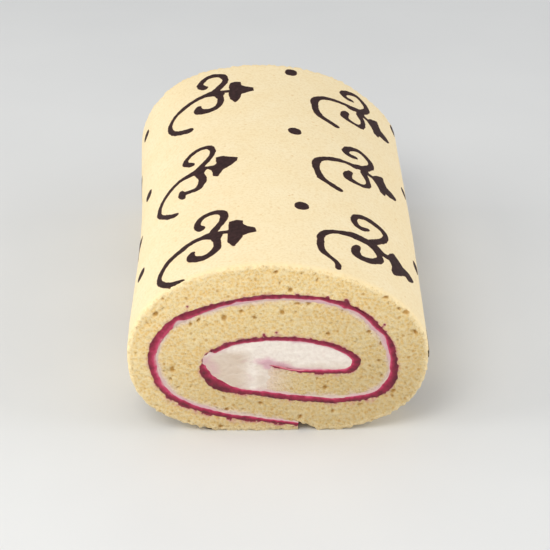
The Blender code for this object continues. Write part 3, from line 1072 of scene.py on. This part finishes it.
def pipedForm(name, strokes, corners=()):
    # a thin sheet in small cells, cut to the strokes' outline: the cells outside go, and
    # the rim of what is left moves onto the outline
    cell, nudge = piping["cell"], 0.05  # mm, and the second is to measure slopes
    pieces = []
    for stroke in strokes:
        line = smoothLine([Vector(place) for place in stroke], piping["curveSteps"])
        pieces += zip(line, line[1:])
    corners = [Vector(corner) for corner in corners]
    leaf = list(zip(corners, corners[1:] + corners[:1]))
    places = [place for piece in pieces for place in piece]
    places += [Vector((*corner, 1)) for corner in corners]
    low = [min(place[k] - place.z for place in places) - 1 for k in (0, 1)]
    high = [max(place[k] + place.z for place in places) + 1 for k in (0, 1)]
    columns, rows = (math.ceil((high[k] - low[k]) / cell) for k in (0, 1))

    def depthAt(x, y):
        return inkDepth(pieces, leaf, x, y)

    form = flatGrid(name, columns, rows)
    verts = form.data.vertices
    depth = {}
    for vert in verts:
        c, r = round(vert.co.x * columns), round(vert.co.y * rows)
        vert.co = (low[0] + c * cell, low[1] + r * cell, 0)
        depth[c, r] = depthAt(vert.co.x, vert.co.y)
    middle = {
        (c, r): (depth[c, r] + depth[c + 1, r] + depth[c, r + 1] + depth[c + 1, r + 1]) / 4
        for c in range(columns) for r in range(rows)
    }
    kept = {at for at, deep in middle.items() if deep > 0}
    for c, r in middle:  # cells that only touch at a corner get a neighbour
        block = [(c, r), (c + 1, r + 1), (c + 1, r), (c, r + 1)]
        held = [at in kept for at in block]
        if held in ([True, True, False, False], [False, False, True, True]):
            missing = [at for at in block if at not in kept]
            kept.add(max(missing, key=lambda at: middle.get(at, -9)))
    outside = [
        face.index for face in form.data.polygons
        if tuple(math.floor((face.center[k] - low[k]) / cell) for k in (0, 1)) not in kept
    ]
    editChosen(form, "polygons", outside, bpy.ops.mesh.delete, type="FACE")

    uses = {}
    for face in form.data.polygons:
        for edge in face.edge_keys:
            uses[edge] = uses.get(edge, 0) + 1
    rim = {i for edge, count in uses.items() if count == 1 for i in edge}
    verts = form.data.vertices
    for i in rim:
        start = verts[i].co.copy()
        for _ in range(3):
            x, y = verts[i].co.xy
            deep = depthAt(x, y)
            slopeX = (depthAt(x + nudge, y) - deep) / nudge
            slopeY = (depthAt(x, y + nudge) - deep) / nudge
            steep = max(slopeX * slopeX + slopeY * slopeY, 0.3)
            verts[i].co -= Vector((slopeX, slopeY, 0)) * (deep / steep)
        moved = verts[i].co - start
        if moved.length > 0.8 * cell:
            verts[i].co = start + moved.normalized() * (0.8 * cell)
    thin = form.data.attributes.new("thin", "FLOAT", "POINT")
    for i, vert in enumerate(verts):
        rise = 0 if i in rim else ease(depthAt(vert.co.x, vert.co.y) / piping["slope"])
        vert.co.z = piping["rise"][0] * (1 - rise) + piping["rise"][1] * rise
        thin.data[i].value = 1 - rise
    return deepened(form, -piping["sunk"])


skinEven = evenLine(skinLine, 0.25 * mm)
skinEvenCell = runOf(skinEven)[-1] / (len(skinEven) - 1)


def onSkinLine(runFromCrown):  # a place on the skin's line and the way outwards
    at = clamp((crownRun + runFromCrown) / skinEvenCell, 1, len(skinEven) - 3)
    i = int(at)
    inward = inwardAt(skinEven, i).lerp(inwardAt(skinEven, i + 1), at - i)
    return skinEven[i].lerp(skinEven[i + 1], at - i), -inward


def laidOnSkin(motif, run, y, turn, seed):
    # a copy of the flat motif, set on the skin with the hand's small drift
    copy = motif.copy()
    copy.data = motif.data.copy()
    bpy.context.collection.objects.link(copy)
    cos, sin = math.cos(math.radians(turn)), math.sin(math.radians(turn))
    scale = random.Random(seed).uniform(0.97, 1.03)
    for vert in copy.data.vertices:
        flatX, flatY, high = vert.co
        x, up = flatX, flatY
        for drift, size in piping["wander"]:
            x += drift * lumpy(flatX / size, flatY / size, seed * 3.7)
            up += drift * lumpy(flatX / size, flatY / size, seed * 3.7 + 11.3)
        runHere = (run + (x * cos - up * sin) * scale) * mm
        yHere = (y + (x * sin + up * cos) * scale) * mm
        place, out = onSkinLine(runHere)
        place += out * (skinRise(runHere + crownRun, yHere) + high * mm)
        vert.co = Vector((place.x, yHere, max(place.y, 0.02 * mm)))
    return copy


def joined(name, copies):
    onlySelect(copies[0])
    for copy in copies:
        copy.select_set(True)
    bpy.ops.object.join()
    copies[0].name = name
    return copies[0]


def trimmedToRoll(piece):
    # what runs over a cut face is sliced off there, as the knife did
    for side in (-1, 1):
        edge = side * (roll["length"] / 2 - piping["endShort"])
        plane = {"plane_co": (0, edge, 0), "plane_no": (0, side, 0)}
        editAll(piece, bpy.ops.mesh.bisect, use_fill=True, clear_outer=True, **plane)


def makePiping():
    material = cocoaBatter()
    flat = {"dot": pipedForm("flat_dot", (piping["dotStroke"],))}
    for form, (leaf, *strokes) in scrollForms.items():
        flat[form] = pipedForm("flat_" + form, strokes, leaf)
    scrolls = [
        laidOnSkin(flat[form], run, y, turn, seed)
        for seed, (run, y, form, turn) in enumerate(piping["scrolls"])
    ]
    dots = [
        laidOnSkin(flat["dot"], run, y, 0, seed)
        for seed, (run, y) in enumerate(piping["dots"], 40)
    ]
    for name, copies in (("cocoa_scrolls", scrolls), ("cocoa_dots", dots)):
        piece = joined(name, copies)
        trimmedToRoll(piece)
        for vert in piece.data.vertices:
            vert.co = settled(*vert.co)
        editAll(piece, bpy.ops.mesh.normals_make_consistent, inside=False)
        finished(piece, (material,), 50)
    for piece in flat.values():
        bpy.data.objects.remove(piece)


makeSponge()
makeJam()
makeCream()
makePiping()


studio = {
    "floor": "#dadad9",
    "floorLight": "#e4e4e2",
    "floorMottle": 60 * mm,
    "floorSize": 6,
    "sky": "#eef1f5",
    "skyStrength": 0.6,
    # name, place, size, watts, colour
    "lamps": (
        ("window", (-0.75, -0.1, 0.4), 0.6, 3.4, "#fffdf8"),
        ("wall", (0.75, -0.1, 0.32), 0.7, 3.0, "#ffffff"),
        ("front", (-0.2, -0.42, 0.55), 0.35, 1.75, "#fffdf8"),
    ),
    "lampTarget": (0, 0, 0.03),
    "cameraPlace": (-0.01194, -0.70713, 0.38895),
    "cameraTurn": (62, 0, -1),
    "lens": 160.8,
}


def setStudio():
    # a painted board: even, pale and matt, only faintly mottled
    material, tree, shader, place = newMaterial("pale_painted_board", 0.6)
    mottle = addNode(tree, "TexNoise", {"Vector": place, "Scale": 1 / studio["floorMottle"]})
    painted(tree, shader, studio, "floor", ((mottle, 0.3, 0.7, 0.3, "floorLight"),))
    bpy.ops.object.select_all(action="DESELECT")
    bpy.ops.mesh.primitive_plane_add(size=studio["floorSize"])
    floor = bpy.context.object
    floor.name = "floor"
    floor.data.materials.append(material)

    scene = bpy.context.scene
    for name, place, size, watts, colour in studio["lamps"]:
        lamp = bpy.data.lights.new(name, "AREA")
        lamp.shape, lamp.size, lamp.energy, lamp.color = "DISK", size, watts, hexColour(colour)[:3]
        stand = bpy.data.objects.new(name, lamp)
        stand.location = place
        aim = Vector(studio["lampTarget"]) - stand.location
        stand.rotation_euler = aim.to_track_quat("-Z", "Y").to_euler()
        scene.collection.objects.link(stand)

    scene.world = bpy.data.worlds.new("studio")
    scene.world.use_nodes = True
    sky = scene.world.node_tree.nodes["Background"]
    sky.inputs["Color"].default_value = hexColour(studio["sky"])
    sky.inputs["Strength"].default_value = studio["skyStrength"]
    scene.view_settings.view_transform = "Standard"

    camera = bpy.data.cameras.new("camera")
    camera.lens = studio["lens"]
    scene.camera = bpy.data.objects.new("camera", camera)
    scene.camera.location = studio["cameraPlace"]
    scene.camera.rotation_euler = [math.radians(angle) for angle in studio["cameraTurn"]]
    scene.collection.objects.link(scene.camera)


setStudio()
print("studio set")

bpy.context.view_layer.update()
